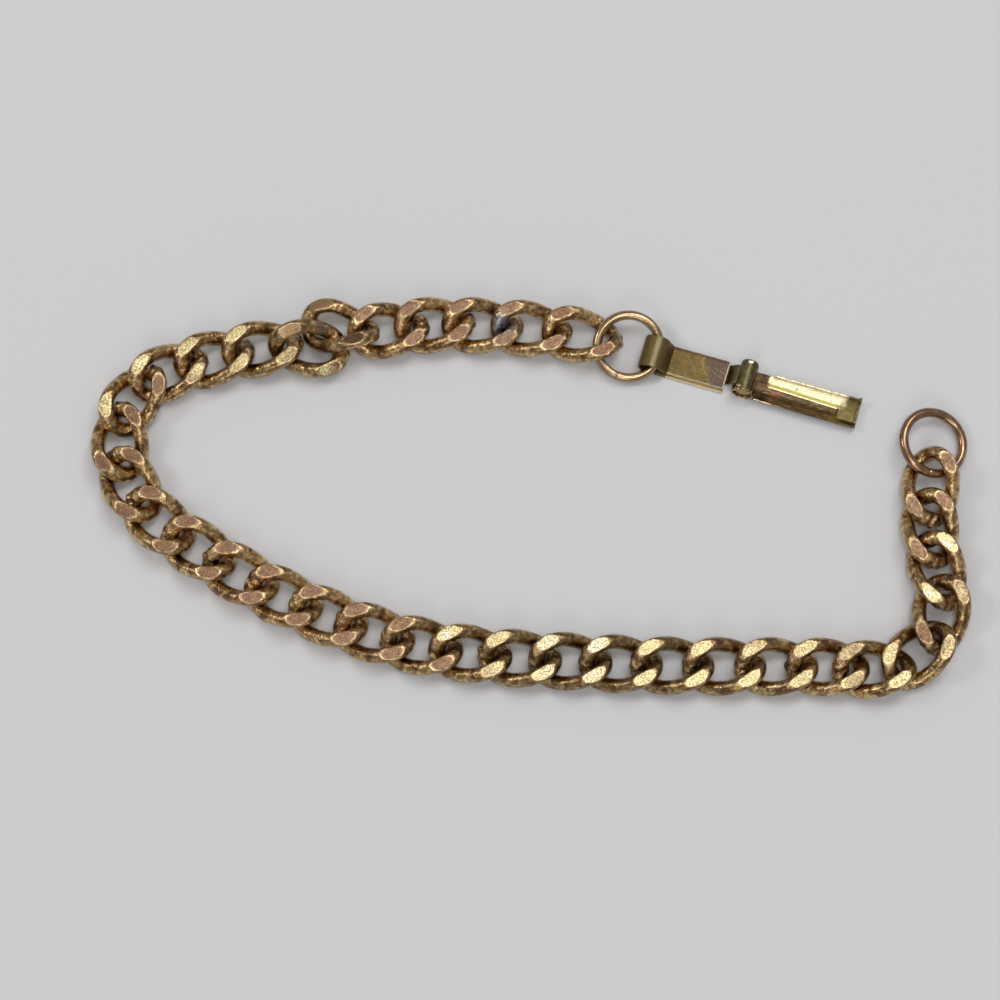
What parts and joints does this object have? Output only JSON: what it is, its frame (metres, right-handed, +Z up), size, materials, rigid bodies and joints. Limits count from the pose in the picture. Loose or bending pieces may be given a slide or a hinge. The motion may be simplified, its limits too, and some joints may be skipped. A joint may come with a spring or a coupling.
{
  "type": "link bracelet",
  "caption": "Gold-toned curb link bracelet lying open in a hook, with a jump ring at each end and an open fold-over clasp.",
  "frame": {"origin": "middle of the whole bracelet's box, on the surface that it lies on", "axes": "+X along the chain's long side towards the free end, +Y across it towards the clasp, +Z up"},
  "size_m": [0.0842, 0.0396, 0.0042],
  "materials": {
    "link_brass": "polished, worn gold colour",
    "ring_brass": "polished gold colour",
    "clasp_brass": "scratched and tarnished gold colour"
  },
  "bodies": {
    "bracelet": {"link_01": "link_brass", "link_02": "link_brass", "link_03": "link_brass", "link_04": "link_brass", "link_05": "link_brass", "link_06": "link_brass", "link_07": "link_brass", "link_08": "link_brass", "link_09": "link_brass", "link_10": "link_brass", "link_11": "link_brass", "link_12": "link_brass", "link_13": "link_brass", "link_14": "link_brass", "link_15": "link_brass", "link_16": "link_brass", "link_17": "link_brass", "link_18": "link_brass", "link_19": "link_brass", "link_20": "link_brass", "link_21": "link_brass", "link_22": "link_brass", "link_23": "link_brass", "link_24": "link_brass", "link_25": "link_brass", "link_26": "link_brass", "link_27": "link_brass", "link_28": "link_brass", "link_29": "link_brass", "link_30": "link_brass", "link_31": "link_brass", "link_32": "link_brass", "link_33": "link_brass", "link_34": "link_brass", "ring_clasp_end": "ring_brass", "ring_free_end": "ring_brass", "clasp_plate": "clasp_brass"},
    "lever": {"clasp_lever": "clasp_brass"}
  },
  "joints": [
    {"name": "lever_hinge", "type": "hinge", "parent": "bracelet", "child": "lever", "pos_m": [0.02087, 0.01148, 0.0011], "axis": [-0.284, -0.9588, 0], "range_deg": [0, 172]}
  ]
}
